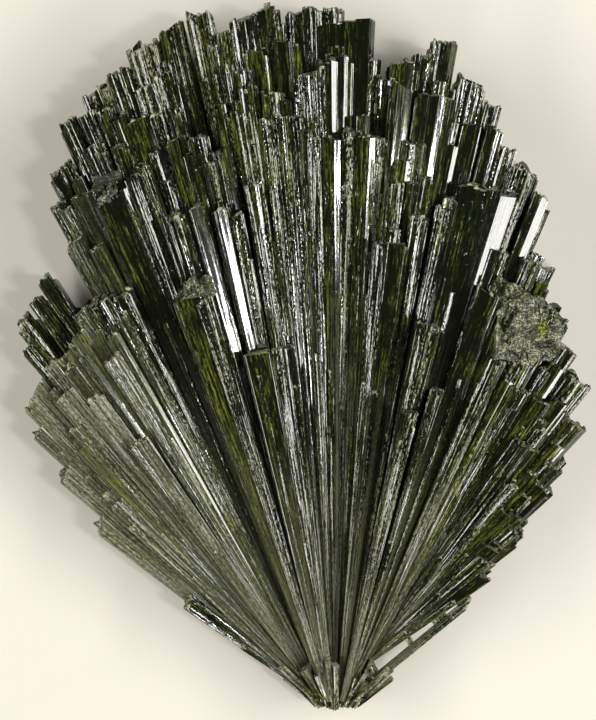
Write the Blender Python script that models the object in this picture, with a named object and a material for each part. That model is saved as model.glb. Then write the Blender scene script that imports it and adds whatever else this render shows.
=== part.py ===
"""Epidote crystal cluster: a fan of intergrown striated prisms, lying on its flat back.

X runs across the fan, Y from the root towards the tips, Z from the back towards the front.
The origin is under the middle of the cluster, on the surface that it rests on.
"""
import math
import random
from collections import namedtuple

import bmesh
import bpy
from mathutils import Matrix, Vector

MM = 0.001

# Driving dimensions, in millimetres.
FAN_LENGTH = 56.0        # root to the highest tip
ROOT_HALF_WIDTH = 1.6    # where the outermost prisms start, either side of the middle
ROOT_LOW = 1.2           # height of the lowest prism's start above the back
ROOT_HIGH = 3.4          # height of the frontmost prism's start
EDGE_ANGLE = 52.0        # half angle of the fan, in degrees
BACK_ROW_RISE = 7.4      # height of the front of the back row's tips, in the middle
FRONT_ROW_RISE = 10.6    # height of the front of the shortest prisms, in the middle
SIDE_RISE = 0.66         # share of that height left at the fan's edges
EYE_HEIGHT = 144.0       # the tips' places below are as seen from this far in front

# One prism. x and y: place of its tip from the root. width: across the tip. slope: how far the
# tip's end rises to the right, in degrees. face: share of the width that is flat front.
# lift: added to the height that its place in the fan gives it.
Prism = namedtuple("Prism", "x y width slope face lift", defaults=(8.0, 0.66, 0.0))

# The tall prisms that make the outline, from the left blades round to the lower right.
BACK_ROW = (
    Prism(-18.9, 13.9, 1.5, 30.0), Prism(-21.5, 18.2, 2.2, 16.0), Prism(-23.5, 21.6, 2.2, 8.0),
    Prism(-24.1, 24.4, 3.2, 20.0), Prism(-24.6, 28.0, 1.3, 10.0),
    Prism(-25.0, 30.0, 1.6, 30.0), Prism(-24.1, 31.9, 1.2, 20.0), Prism(-23.4, 33.5, 1.2, 20.0),
    Prism(-22.3, 39.6, 1.4, 4.0), Prism(-22.1, 42.4, 2.2, 12.0), Prism(-19.3, 48.6, 2.2, 14.0),
    Prism(-17.4, 50.1, 2.2, 14.0), Prism(-15.4, 52.3, 2.8, 8.0), Prism(-13.2, 53.7, 2.1, 18.0),
    Prism(-10.9, 54.7, 2.1, 6.0), Prism(-8.9, 53.3, 1.4, 4.0), Prism(-6.5, 54.9, 4.0, 12.0, 0.8),
    Prism(-4.3, 53.8, 0.8), Prism(-2.8, 55.0, 2.3, 16.0), Prism(-0.5, 55.2, 2.4, 0.0),
    Prism(0.8, 54.1, 4.6, 9.0, 0.84), Prism(3.2, 51.0, 1.0), Prism(5.3, 50.8, 2.0, 14.0),
    Prism(7.2, 51.5, 1.6, 8.0), Prism(8.8, 52.5, 2.1, 4.0), Prism(11.0, 49.4, 2.4, -16.0),
    Prism(12.7, 47.5, 1.4, -4.0), Prism(14.0, 43.9, 1.2), Prism(15.3, 42.2, 2.4, 0.0),
    Prism(16.6, 40.1, 1.1, -10.0), Prism(15.9, 34.9, 1.6, 14.0), Prism(17.2, 31.2, 3.2, -18.0),
    Prism(18.7, 27.8, 1.6, 6.0), Prism(19.6, 25.3, 2.2, 4.0), Prism(19.4, 21.9, 2.0, 12.0),
    Prism(17.6, 18.4, 1.6, 10.0), Prism(16.6, 16.4, 1.5, 8.0), Prism(14.4, 13.4, 1.5, 10.0),
    Prism(12.1, 10.9, 1.4, 8.0),
)

# The prisms in front of them that end lower, each tier nearer to the viewer.
FRONT_TIERS = (
    Prism(-21.5, 46.1, 1.6, 8.0), Prism(-19.9, 46.7, 1.5, 10.0), Prism(-18.6, 47.0, 1.1),
    Prism(-17.3, 46.6, 1.2), Prism(-17.2, 44.3, 1.7), Prism(-14.7, 49.3, 3.0, 16.0, 0.75),
    Prism(-12.6, 46.9, 0.8), Prism(-18.5, 41.4, 3.0, 16.0, 0.7), Prism(-16.1, 41.8, 1.6, 4.0),
    Prism(-9.3, 52.3, 0.7), Prism(-8.5, 50.7, 0.7), Prism(-7.0, 49.0, 1.4),
    Prism(-11.0, 45.0, 1.6, 12.0), Prism(-6.5, 41.0, 1.1), Prism(-2.2, 50.1, 2.8, 11.0, 0.84),
    Prism(-3.7, 46.5, 1.8, 4.0), Prism(-2.4, 45.4, 1.2), Prism(-1.6, 45.1, 1.3, 2.0),
    Prism(-0.3, 44.8, 1.4, -4.0), Prism(1.1, 44.8, 1.3, 6.0), Prism(2.5, 44.9, 1.5, 8.0),
    Prism(4.1, 49.7, 1.4, -4.0), Prism(5.4, 49.0, 1.3, -24.0), Prism(8.1, 48.1, 3.0, 8.0, 0.62),
    Prism(6.4, 44.4, 1.9, -6.0), Prism(4.9, 41.2, 1.3), Prism(7.4, 41.7, 1.0),
    Prism(6.8, 38.6, 1.5, 12.0), Prism(4.8, 37.6, 1.0), Prism(13.0, 44.6, 1.1, -6.0),
    Prism(11.9, 40.8, 3.6, 4.0, 0.66, 0.5), Prism(14.1, 40.0, 1.4, 4.0), Prism(9.3, 40.0, 1.1),
    Prism(8.6, 39.3, 0.9), Prism(3.6, 36.3, 1.1), Prism(5.1, 36.3, 1.8, 2.0, 0.7),
    Prism(7.2, 29.9, 1.2, -6.0), Prism(8.1, 29.6, 1.2, 6.0), Prism(12.4, 32.4, 2.2, -14.0),
    Prism(14.8, 27.3, 3.0, -10.0), Prism(13.0, 27.0, 1.6), Prism(16.7, 21.3, 1.1),
    Prism(8.2, 24.6, 1.0), Prism(6.0, 22.8, 1.3), Prism(-6.1, 27.6, 2.2, 6.0, 0.84, 0.2),
    Prism(-4.2, 28.0, 1.4, 6.0, 0.84, 0.2), Prism(-11.6, 32.7, 3.5, 10.0, 0.6, 0.6),
    Prism(-20.4, 31.0, 1.5, 16.0), Prism(-19.4, 31.6, 1.3, 20.0), Prism(-18.5, 31.9, 1.2, 10.0),
    Prism(-17.2, 32.2, 2.0, 8.0), Prism(-17.9, 27.1, 1.5, 12.0), Prism(-21.5, 24.4, 2.6, 4.0),
    Prism(-19.4, 24.1, 1.4, 8.0), Prism(-15.8, 20.4, 1.6, 10.0), Prism(-11.8, 7.6, 1.3, 10.0),
)

BODY_BLADES = 13        # wide blades that fill the fan behind the prisms
BLADE_REACH = 0.64      # how far they reach, as a share of the outline
MIDDLE_TIER = 0.82      # they lie along the line from the root to a tip at this share of it
BED_PRISMS = 22         # prisms that the cluster rests on, behind the back row
FILL_PRISMS = 48        # unnamed prisms between the named ones, seeded
FRONT_START = 2.4       # the frontmost prisms start this far from the root's middle, inside it
BACK_START = 8.0        # and the back row starts this far from it, inside the blades


def sector_reach(angle):
    """How far the outline lies from the root at an angle across the fan, in mm."""
    turns = (-56.0, -50.0, -44.0, -38.0, -33.0, -27.0, -18.0, -8.0, 0.0,
             4.0, 10.0, 16.0, 22.0, 28.0, 34.0, 42.0, 48.0, 56.0)
    reaches = (14.0, 24.0, 34.0, 39.0, 43.0, 48.0, 54.0, 55.0, 55.0,
               51.0, 52.0, 48.0, 45.0, 38.0, 34.0, 28.0, 21.0, 13.0)
    for left, right, near, far in zip(turns, turns[1:], reaches, reaches[1:]):
        if angle <= right:
            share = (angle - left) / (right - left)
            return near + (far - near) * min(1.0, max(0.0, share))
    return reaches[-1]


def front_height(x, y):
    """Height of the fan's stepped front at a tip: shorter prisms stand nearer to the viewer."""
    angle = math.degrees(math.atan2(x, y))
    shortfall = 1.0 - math.hypot(x, y) / sector_reach(angle)
    nearness = min(1.0, max(0.0, shortfall / 0.42)) ** 0.8
    middle = BACK_ROW_RISE + (FRONT_ROW_RISE - BACK_ROW_RISE) * nearness
    side = (min(abs(angle), EDGE_ANGLE) / EDGE_ANGLE) ** 2
    return middle * (1.0 - (1.0 - SIDE_RISE) * side)


def straightened(x, y, height):
    """The true place of a tip: one nearer to the viewer looks further from the middle than it is."""
    centre_x, centre_y = -3.0, FAN_LENGTH / 2.0 - 0.8
    share = 1.0 - height / EYE_HEIGHT
    return centre_x + (x - centre_x) * share, centre_y + (y - centre_y) * share


def root_point(angle, height):
    """Where a prism starts: the root is a short strip, and the frontmost prisms start highest."""
    across = ROOT_HALF_WIDTH * max(-1.0, min(1.0, angle / EDGE_ANGLE))
    share = min(1.0, max(0.0, (height - BACK_ROW_RISE) / (FRONT_ROW_RISE - BACK_ROW_RISE)))
    return Vector((across, 0.0, ROOT_LOW + (ROOT_HIGH - ROOT_LOW) * share))


def buried_part(height, rng):
    """How much of a prism is left out at its root end, where other prisms stand in its place."""
    share = min(1.0, max(0.0, (height - BACK_ROW_RISE) / (FRONT_ROW_RISE - BACK_ROW_RISE)))
    return BACK_START + (FRONT_START - BACK_START) * share + rng.uniform(0.0, 1.4)


def prism_mesh(root, tip, width, depth, slope, face, roll, root_share):
    """A six-sided prism from root to tip, its tip end sloping and its root end narrower."""
    shape = bmesh.new()
    length = (tip - root).length
    bmesh.ops.create_cone(shape, cap_ends=True, segments=6, radius1=root_share, radius2=1.0,
                          depth=length)
    half_flat = 0.5
    for vert in shape.verts:
        reach = root_share if vert.co.z < 0 else 1.0
        if abs(vert.co.x) < 0.75 * reach:
            vert.co.x *= face / half_flat
        vert.co.x *= width / 2.0
        vert.co.y *= depth / math.sqrt(3.0)
        if vert.co.z > 0:
            vert.co.z += vert.co.x * math.tan(math.radians(slope))
    along = (tip - root).normalized()
    across = along.cross(Vector((0.0, 0.0, 1.0))).normalized()
    front = across.cross(along)
    turn = Matrix((across, front, along)).transposed().to_4x4()
    spin = Matrix.Rotation(math.radians(roll), 4, "Z")
    shape.transform(Matrix.Translation((root + tip) / 2.0) @ turn @ spin)
    return shape


def add_prism(collection, name, root, tip, width, depth, slope, face, roll=0.0, root_share=0.2,
              buried=0.0):
    """Adds a prism, given in millimetres, to a collection. buried: how much of it is left out
    at the root, where the root's own solid stands in its place."""
    share = buried / (tip - root).length
    shape = prism_mesh(root.lerp(tip, share), tip, width, depth, slope, face, roll,
                       root_share + (1.0 - root_share) * share)
    shape.transform(Matrix.Scale(MM, 4))
    bmesh.ops.recalc_face_normals(shape, faces=shape.faces)
    mesh = bpy.data.meshes.new(name)
    shape.to_mesh(mesh)
    shape.free()
    prism = bpy.data.objects.new(name, mesh)
    collection.objects.link(prism)
    prism.hide_render = True
    prism.display_type = "WIRE"
    return prism


def add_named_prisms(collection, rng):
    """The prisms whose tips can be told apart."""
    for number, prism in enumerate(BACK_ROW + FRONT_TIERS):
        height = front_height(prism.x, prism.y) + prism.lift
        depth = max(0.55 * height + 0.8, prism.width * 0.8)
        x, y = straightened(prism.x, prism.y, height)
        root = root_point(math.degrees(math.atan2(x, y)), height)
        tip = Vector((x, y, height - depth / 2.0))
        add_prism(collection, f"prism_{number}", root, tip, prism.width, depth, prism.slope,
                  prism.face, roll=rng.uniform(-9.0, 9.0), buried=buried_part(height, rng))


def add_fill_prisms(collection, rng):
    """Prisms that stand a little behind the named ones, so that no gap is left between them."""
    for number in range(FILL_PRISMS):
        angle = -47.0 + 94.0 * (number + 0.5) / FILL_PRISMS + rng.uniform(-1.0, 1.0)
        reach = sector_reach(angle) * rng.uniform(0.66, 0.94)
        x, y = reach * math.sin(math.radians(angle)), reach * math.cos(math.radians(angle))
        height = front_height(x, y) - rng.uniform(0.3, 1.0)
        depth = 0.5 * height + 1.0
        tip = Vector((*straightened(x, y, height), height - depth / 2.0))
        add_prism(collection, f"fill_{number}", root_point(angle, height), tip,
                  rng.uniform(1.4, 2.6), depth, rng.uniform(0.0, 14.0), 0.66,
                  roll=rng.uniform(-12.0, 12.0), buried=buried_part(height, rng))


def add_body_blades(collection):
    """Wide blades, side by side, that make the intergrown inside of the fan."""
    step = 2.0 * (EDGE_ANGLE - 4.0) / (BODY_BLADES - 1)
    for number in range(BODY_BLADES):
        angle = -(EDGE_ANGLE - 4.0) + step * number
        x, y = math.sin(math.radians(angle)), math.cos(math.radians(angle))
        reach = sector_reach(angle) * BLADE_REACH
        tier = sector_reach(angle) * MIDDLE_TIER
        height = front_height(x * tier, y * tier) * reach / tier - 0.5
        tip = Vector((x * reach, y * reach, height / 2.0 - 0.2))
        root = Vector((ROOT_HALF_WIDTH * angle / EDGE_ANGLE, 0.0, 2.2))
        add_prism(collection, f"blade_{number}", root, tip, 1.45 * reach * math.radians(step),
                  height + 0.4, 6.0, 0.8, root_share=0.26)


def add_bed_prisms(collection, rng):
    """The prisms at the back. They reach past the plane that the cluster rests on."""
    for number in range(BED_PRISMS):
        angle = -44.0 + 86.0 * number / (BED_PRISMS - 1) + rng.uniform(-1.2, 1.2)
        reach = sector_reach(angle) * rng.uniform(0.86, 0.97)
        x, y = reach * math.sin(math.radians(angle)), reach * math.cos(math.radians(angle))
        depth = rng.uniform(3.2, 4.4)
        tip = Vector((x, y, depth / 2.0 - rng.uniform(0.2, 0.7)))
        root = Vector((ROOT_HALF_WIDTH * angle / EDGE_ANGLE, 0.0, 1.2))
        add_prism(collection, f"bed_{number}", root, tip, rng.uniform(2.2, 3.4), depth,
                  rng.uniform(-6.0, 16.0), 0.7, roll=rng.uniform(-5.0, 5.0), root_share=0.3,
                  buried=rng.uniform(4.0, 6.0))


def add_root(collection):
    """The short solid inside the root, which the prisms grow out of."""
    add_prism(collection, "root", Vector((0.0, 0.5, 2.4)), Vector((0.0, 6.0, 2.6)), 12.0, 3.6,
              0.0, 0.72, root_share=0.4)


def add_splinter(collection):
    """The thin prism at the lower right, held at the root, with two bridges across its gaps."""
    foot, tip = Vector((2.6, 1.0, 2.2)), Vector((10.9, 7.6, 2.8))
    add_prism(collection, "splinter", foot, tip, 0.6, 1.5, 20.0, 0.7, root_share=0.8)
    for number, share in enumerate((0.46, 0.84)):
        base = foot.lerp(tip, share)
        head = base + Vector((-0.7, 1.2, 0.2))
        add_prism(collection, f"bridge_{number}", base, head, 0.9, 1.2, 0.0, 0.7, root_share=0.8)


def evaluated_copy(source, name):
    """A plain mesh object from another object's evaluated mesh."""
    graph = bpy.context.evaluated_depsgraph_get()
    mesh = bpy.data.meshes.new_from_object(source.evaluated_get(graph))
    mesh.name = name
    return bpy.data.objects.new(name, mesh)


def keep_outer_skin(mesh):
    """Deletes sealed hollows and specks: only the largest connected surface stays."""
    shape = bmesh.new()
    shape.from_mesh(mesh)
    islands, seen = [], set()
    for start in shape.faces:
        if start in seen:
            continue
        island, queue = [], [start]
        seen.add(start)
        while queue:
            face = queue.pop()
            island.append(face)
            for edge in face.edges:
                for other in edge.link_faces:
                    if other not in seen:
                        seen.add(other)
                        queue.append(other)
        islands.append(island)
    islands.sort(key=len)
    for island in islands[:-1]:
        bmesh.ops.delete(shape, geom=island, context="FACES")
    shape.to_mesh(mesh)
    shape.free()


def epidote_material():
    """Nearly black bottle green, glossy."""
    material = bpy.data.materials.new("epidote")
    material.use_nodes = True
    shader = material.node_tree.nodes["Principled BSDF"]
    shader.inputs["Base Color"].default_value = (0.022, 0.028, 0.010, 1.0)
    shader.inputs["Roughness"].default_value = 0.25
    shader.inputs["Metallic"].default_value = 0.0
    shader.inputs["IOR"].default_value = 1.74
    return material


def main():
    for old in list(bpy.data.objects):
        bpy.data.objects.remove(old)
    scene = bpy.context.scene
    cluster = bpy.data.collections.new("epidote_cluster")
    prisms = bpy.data.collections.new("prisms")
    scene.collection.children.link(cluster)
    scene.collection.children.link(prisms)

    rng = random.Random(7)
    add_body_blades(prisms)
    add_bed_prisms(prisms, rng)
    add_named_prisms(prisms, rng)
    add_fill_prisms(prisms, rng)
    add_splinter(prisms)
    add_root(prisms)

    # One box above the resting plane: what the union leaves below it is cut off flat.
    above = bmesh.new()
    bmesh.ops.create_cube(above, size=0.2)
    bmesh.ops.translate(above, verts=above.verts, vec=(0.0, 0.0, 0.1))
    box_mesh = bpy.data.meshes.new("above_rest_plane")
    above.to_mesh(box_mesh)
    above.free()
    box = bpy.data.objects.new("above_rest_plane", box_mesh)
    box.hide_render = True
    box.display_type = "WIRE"
    scene.collection.objects.link(box)

    first = prisms.objects["blade_6"]
    prisms.objects.unlink(first)
    scene.collection.objects.link(first)
    grown = first.modifiers.new("grown_together", "BOOLEAN")
    grown.operation = "UNION"
    grown.operand_type = "COLLECTION"
    grown.collection = prisms
    flat = first.modifiers.new("flat_back", "BOOLEAN")
    flat.operation = "INTERSECT"
    flat.object = box
    bpy.context.view_layer.update()

    fan = evaluated_copy(first, "crystal_fan")
    cluster.objects.link(fan)
    keep_outer_skin(fan.data)
    for helper in list(prisms.objects) + [first, box]:
        bpy.data.objects.remove(helper)

    low = Vector(min(v.co[i] for v in fan.data.vertices) for i in range(3))
    high = Vector(max(v.co[i] for v in fan.data.vertices) for i in range(3))
    fan.data.transform(Matrix.Translation((-(low.x + high.x) / 2, -(low.y + high.y) / 2, 0.0)))
    fan.data.materials.clear()
    fan.data.materials.append(epidote_material())


main()
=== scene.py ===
"""Epidote crystal cluster: the looks of the fan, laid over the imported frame.

Lengths are in millimetres until a mesh is made. The fan lies on its back with its root towards
-Y and its front towards +Z, and the camera looks down on it.
"""

import logging
import math
import random
from collections.abc import Callable, Iterable
from dataclasses import dataclass, field
from enum import Enum
from functools import partial

import bmesh
import bpy
import numpy as np
from bpy.types import Material, Mesh, Node, NodeSocket, NodeTree, Object
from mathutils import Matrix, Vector, noise

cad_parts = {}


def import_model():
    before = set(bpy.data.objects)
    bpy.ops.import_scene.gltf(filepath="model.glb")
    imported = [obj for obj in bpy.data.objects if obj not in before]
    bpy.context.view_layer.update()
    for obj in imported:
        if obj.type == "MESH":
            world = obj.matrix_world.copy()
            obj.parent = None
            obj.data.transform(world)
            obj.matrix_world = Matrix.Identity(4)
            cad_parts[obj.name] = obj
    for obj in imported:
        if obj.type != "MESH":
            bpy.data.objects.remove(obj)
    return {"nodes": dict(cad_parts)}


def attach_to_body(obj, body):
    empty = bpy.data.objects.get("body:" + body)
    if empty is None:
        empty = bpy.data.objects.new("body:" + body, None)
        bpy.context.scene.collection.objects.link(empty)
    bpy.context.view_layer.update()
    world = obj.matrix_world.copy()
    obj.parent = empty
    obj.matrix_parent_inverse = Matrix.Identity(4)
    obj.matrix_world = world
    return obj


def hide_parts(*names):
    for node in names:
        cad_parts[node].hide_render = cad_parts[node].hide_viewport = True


LOG = logging.getLogger("epidote_cluster")
Pair = tuple[float, float]
Triple = tuple[float, float, float]

# Sizes of the fan and the view

MM = 0.001
ROOT = Vector((2.478, -26.902, 0.0))   # where the prisms' middle lines meet
EYE_HEIGHT = 144.0                   # the camera, above the resting plane
EYE_X, EYE_Y = -0.48, 0.04           # and over the middle of the fan
EDGE_ANGLE = 52.0                    # of the fan's outermost prisms, in degrees from +Y
BACK_ROW_RISE = 7.4                  # height of the rearmost row at the tips
FRONT_ROW_RISE = 10.6                # and of the foremost
FRONT_SHORTFALL = 0.42               # how much shorter than the outline the foremost row is
FRONT_CURVE = 0.8                    # below 1, the rows rise faster at the back
SIDE_RISE = 0.66                     # share of those heights at the fan's edges
ROOT_SHARE = 0.2                     # a prism's width at the root, as a share of that at its tip
SIDE_TURN = 52.0                     # how far side faces turn from the front, in degrees
SILVER_TURN = 22.5                   # how far right faces turn that mirror the right lamp
KEY_TURN = 12.0                      # how far a face turns that mirrors the key lamp
UP = Vector((0.0, 0.0, 1.0))
BACK_FOOT_RISE = 2.6                 # the same rows at the root
FRONT_FOOT_RISE = 4.8
FOOT_WIDTH = 1.6                     # from the middle of the root to a crystal at the fan's edge
FOOT_BACK = 0.5                      # and how far up the fan it springs from
RIGHT_EDGE = (1.9, 3.0)              # how much nearer the middle and further up it is at the right
NOTCH = (-21.3, 33.3)                # the gap in the outline at the left, from the root
NOTCH_REACH = 3.0
BED_NOTCH = 5.0                      # how near to it the bed's crystals are cut short
NOTCH_DEPTH = 34.0                   # and how long they are there
NOTCH_SHARE = 0.86                   # what is left of a prism's length near the notch
NEAR = 0.01                          # as good as nothing, of a master prism's size
REFRACTION = 1.74


class Cut(Enum):
    """How a prism ends."""

    PLAIN = "plain"
    STEPPED = "stepped"
    ROOFED = "roofed"
    ROUGH = "rough"


class Sheen(Enum):
    """How a prism's faces take the light."""

    STRIATED = "striated"
    GLASSY = "glassy"
    BRIGHT_FRONT = "bright front"
    BRIGHT_SIDE = "bright side"
    SILVER_SIDE = "silver side"


@dataclass(frozen=True)
class Prism:
    """One prism of the fan, by the place of its tip from the root.

    x, y: place of the tip. width: across the tip. slope: how far the end rises to the right, in
    degrees. left, right: shares of the width that are side faces. lift: added height.
    tone: 0 black, 1 translucent green. dust: how much pale dust and wear it carries.
    rib: width of the ribs that it is made of. haze: how far its faces are roughened
    matt and painted grey all over; the grey is painted reflection of the pale floor.
    foot_lift: added height at the root.
    """

    x: float
    y: float
    width: float
    slope: float = 6.0
    left: float = 0.09
    right: float = 0.24
    lift: float = 0.0
    tone: float = 0.2
    dust: float = 0.3
    cut: Cut = Cut.PLAIN
    rib: float = 0.45
    sheen: Sheen = Sheen.STRIATED
    haze: float = 0.0
    foot_lift: float = 0.0


# The fan's prisms

BACK_LEFT = (
    Prism(-22.3, 39.6, 1.4, 4.0), Prism(-22.1, 42.4, 2.2, 12.0), Prism(-19.3, 48.6, 2.2, 14.0),
    Prism(-17.4, 50.1, 2.2, 14.0, rib=0.7), Prism(-15.4, 52.3, 2.8, 8.0, dust=0.5),
    Prism(-13.2, 53.7, 2.1, 18.0), Prism(-10.9, 54.7, 2.1, 6.0, dust=0.6),
)
BACK_CENTRE = (
    Prism(-8.9, 53.3, 1.4, 4.0), Prism(-6.5, 54.9, 4.0, 12.0, 0.08, 0.1, 0.0, 0.1, rib=0.7),
    Prism(-4.3, 53.8, 0.8), Prism(-2.8, 55.0, 2.3, 16.0), Prism(-0.5, 55.2, 2.4, 0.0),
    Prism(0.8, 54.1, 4.6, 9.0, 0.06, 0.08, 0.0, 0.0, 0.2, rib=1.1, sheen=Sheen.GLASSY),
    Prism(3.2, 51.0, 1.0),
)
BACK_RIGHT = (
    Prism(5.3, 50.8, 2.0, 14.0, sheen=Sheen.BRIGHT_SIDE), Prism(7.2, 51.5, 1.6, 8.0),
    Prism(8.8, 52.5, 2.1, 4.0), Prism(11.0, 49.4, 2.4, -16.0), Prism(12.7, 47.5, 1.4, -4.0),
    Prism(12.9, 45.6, 1.4, -4.0, 0.08, 0.45, 0.6, sheen=Sheen.BRIGHT_SIDE), Prism(14.0, 43.9, 1.2),
    Prism(15.3, 42.2, 2.4, 0.0, dust=0.8),
    Prism(16.6, 40.1, 1.3, -10.0, 0.08, 0.5, 0.3, sheen=Sheen.SILVER_SIDE),
    Prism(15.9, 34.9, 1.6, 14.0), Prism(17.2, 31.2, 3.2, -18.0), Prism(18.7, 27.8, 1.6, 6.0),
    Prism(19.6, 25.3, 2.2, 4.0), Prism(19.4, 21.9, 2.0, 12.0), Prism(17.6, 18.4, 1.6, 10.0),
    Prism(16.6, 16.4, 1.5, 8.0), Prism(14.4, 13.4, 1.5, 10.0), Prism(12.1, 10.9, 1.4, 8.0),
)
# The lower left prisms carry much painted grey, which stands in for the reflection of the pale floor.
LOWER_LEFT = (
    Prism(-18.9, 13.9, 1.5, 30.0, dust=0.5, haze=0.8),
    Prism(-21.5, 18.2, 2.2, 16.0, dust=0.5, haze=0.8),
    Prism(-23.5, 21.6, 2.2, 8.0, dust=0.5, haze=0.7),
    Prism(-24.1, 24.4, 3.2, 20.0, dust=0.5, rib=0.9, haze=0.85), Prism(-24.6, 28.0, 1.3, 10.0),
    Prism(-25.0, 30.0, 1.6, 30.0), Prism(-24.1, 31.9, 1.2, 20.0), Prism(-23.4, 33.5, 1.2, 20.0),
    Prism(-20.4, 31.0, 1.5, 16.0, haze=0.3), Prism(-19.4, 31.6, 1.3, 20.0),
    Prism(-18.5, 31.9, 1.2, 10.0), Prism(-17.2, 32.2, 2.0, 8.0),
    Prism(-17.9, 27.1, 1.5, 12.0, dust=0.5, haze=0.5),
    Prism(-21.5, 24.4, 2.6, 4.0, dust=0.5, rib=0.9, haze=0.85),
    Prism(-19.4, 24.1, 1.4, 8.0, dust=0.5, haze=0.8),
    Prism(-15.8, 20.4, 1.6, 10.0, dust=0.5, haze=0.6), Prism(-11.8, 7.6, 1.3, 10.0),
)
TIER_LEFT = (
    Prism(-21.5, 46.1, 1.6, 8.0), Prism(-19.9, 46.7, 1.5, 10.0), Prism(-18.6, 47.0, 1.1),
    Prism(-17.3, 46.6, 1.2), Prism(-17.2, 44.3, 1.7), Prism(-14.7, 49.3, 3.0, 16.0, dust=0.6),
    Prism(-12.6, 46.9, 0.8),
    Prism(-18.5, 41.4, 2.9, 16.0, lift=0.7, tone=0.0, dust=0.1, cut=Cut.ROUGH, rib=1.0,
          sheen=Sheen.GLASSY),
    Prism(-16.1, 41.8, 1.6, 4.0), Prism(-9.3, 52.3, 0.7), Prism(-8.5, 50.7, 0.7),
    Prism(-11.0, 45.0, 1.6, 12.0), Prism(-13.4, 38.6, 1.4, 8.0),
    Prism(-12.5, 38.6, 1.1, 8.0, lift=0.3), Prism(-7.9, 38.6, 1.1, 6.0, lift=0.5),
    Prism(-11.1, 39.4, 1.2, 8.0, lift=0.6, sheen=Sheen.BRIGHT_FRONT, rib=0.9, foot_lift=0.42),
    Prism(-9.2, 39.0, 1.4, 8.0, 0.3, 0.2, 0.6, sheen=Sheen.BRIGHT_FRONT, rib=0.8, foot_lift=0.42),
)
TIER_CENTRE = (
    Prism(-7.0, 49.0, 1.4), Prism(-6.5, 41.0, 1.5, lift=0.4),
    Prism(-2.2, 50.1, 2.8, 11.0, 0.1, 0.16, tone=0.05, rib=0.8), Prism(-3.7, 46.5, 1.8, 4.0),
    Prism(-2.4, 45.4, 1.2, 6.0, 0.08, 0.4, sheen=Sheen.BRIGHT_SIDE), Prism(-1.6, 45.1, 1.3, 2.0),
    Prism(-0.3, 44.8, 1.4, -4.0, 0.08, 0.34, 0.1, sheen=Sheen.BRIGHT_SIDE), Prism(1.1, 44.8, 1.3, 6.0),
    Prism(2.5, 44.9, 1.5, 8.0, 0.08, 0.3, 0.2, sheen=Sheen.BRIGHT_SIDE), Prism(4.9, 41.2, 1.3),
    Prism(4.8, 37.6, 1.0), Prism(3.6, 36.3, 1.1),
)
TIER_RIGHT = (
    Prism(4.1, 49.7, 1.4, -4.0), Prism(5.4, 49.0, 1.7, -24.0, 0.1, 0.7, 1.0, sheen=Sheen.BRIGHT_SIDE),
    Prism(8.1, 48.1, 3.0, 2.0, 0.05, 0.42, 0.7, 0.1, rib=0.9, sheen=Sheen.BRIGHT_SIDE),
    Prism(6.4, 44.4, 1.9, -6.0), Prism(7.4, 41.7, 1.0), Prism(6.8, 38.6, 1.5, 12.0),
    Prism(13.0, 44.6, 1.1, -6.0),
    Prism(12.3, 40.7, 4.6, 2.0, 0.06, 0.28, 0.5, 0.0, 0.4, rib=0.8, sheen=Sheen.SILVER_SIDE),
    Prism(14.1, 40.0, 1.4, 4.0), Prism(9.3, 40.0, 1.1), Prism(8.6, 39.3, 0.9),
    Prism(5.1, 36.3, 1.8, 2.0, tone=0.0, dust=0.5, rib=0.9, sheen=Sheen.GLASSY),
    Prism(12.4, 32.4, 2.2, -14.0, tone=0.0, rib=0.9, sheen=Sheen.GLASSY),
)
TIER_LOWER_RIGHT = (
    Prism(7.2, 29.9, 1.2, -6.0), Prism(8.1, 29.6, 1.2, 6.0), Prism(14.8, 27.3, 3.0, -10.0),
    Prism(13.0, 27.0, 1.6), Prism(16.7, 21.3, 1.1), Prism(8.2, 24.6, 1.0), Prism(6.0, 22.8, 1.3),
)
FRONT_BLOCKS = (
    Prism(-6.3, 27.6, 2.1, 2.0, 0.06, 0.04, -0.25, 0.0, 0.5, rib=2.2, sheen=Sheen.GLASSY),
    Prism(-4.2, 28.0, 1.8, 2.0, 0.04, 0.12, -0.3, 0.0, 0.3, rib=0.9),
    Prism(-12.0, 32.2, 2.2, 6.0, 0.12, 0.06, 0.45, 0.55, 0.0, rib=1.2, sheen=Sheen.GLASSY),
    Prism(-10.4, 32.0, 1.6, 4.0, 0.06, 0.3, 0.45, 0.0, 0.45, rib=0.7),
)


def sector_reach(angle: float) -> float:
    """How far the fan's outline lies from the root.

    Args:
        angle: direction from the root, in degrees from +Y towards +X.

    Returns:
        The reach in millimetres.
    """
    turns = (-56.0, -50.0, -44.0, -38.0, -33.0, -27.0, -18.0, -8.0, 0.0,
             4.0, 10.0, 16.0, 22.0, 28.0, 34.0, 42.0, 48.0, 56.0)
    reaches = (14.0, 24.0, 34.0, 39.0, 43.0, 48.0, 54.0, 55.0, 55.0,
               51.0, 52.0, 48.0, 45.0, 38.0, 34.0, 28.0, 21.0, 13.0)
    return float(np.interp(angle, turns, reaches))


def front_height(x: float, y: float) -> float:
    """Height of the stepped front where a prism ends: shorter prisms stand nearer the viewer.

    Args:
        x: place of the tip across the fan, from the root.
        y: place of the tip along the fan, from the root.

    Returns:
        The height above the resting plane, in millimetres.
    """
    angle = math.degrees(math.atan2(x, y))
    shortfall = 1.0 - math.hypot(x, y) / sector_reach(angle)
    nearness = min(1.0, max(0.0, shortfall / FRONT_SHORTFALL)) ** FRONT_CURVE
    middle = BACK_ROW_RISE + (FRONT_ROW_RISE - BACK_ROW_RISE) * nearness
    side = (min(abs(angle), EDGE_ANGLE) / EDGE_ANGLE) ** 2
    return middle * (1.0 - (1.0 - SIDE_RISE) * side)


def fan_point(angle: float, length: float) -> Pair:
    """The place at some distance from the root.

    Args:
        angle: direction from the root, in radians from +Y towards +X.
        length: the distance.

    Returns:
        The place across and along the fan, from the root.
    """
    return length * math.sin(angle), length * math.cos(angle)


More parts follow.
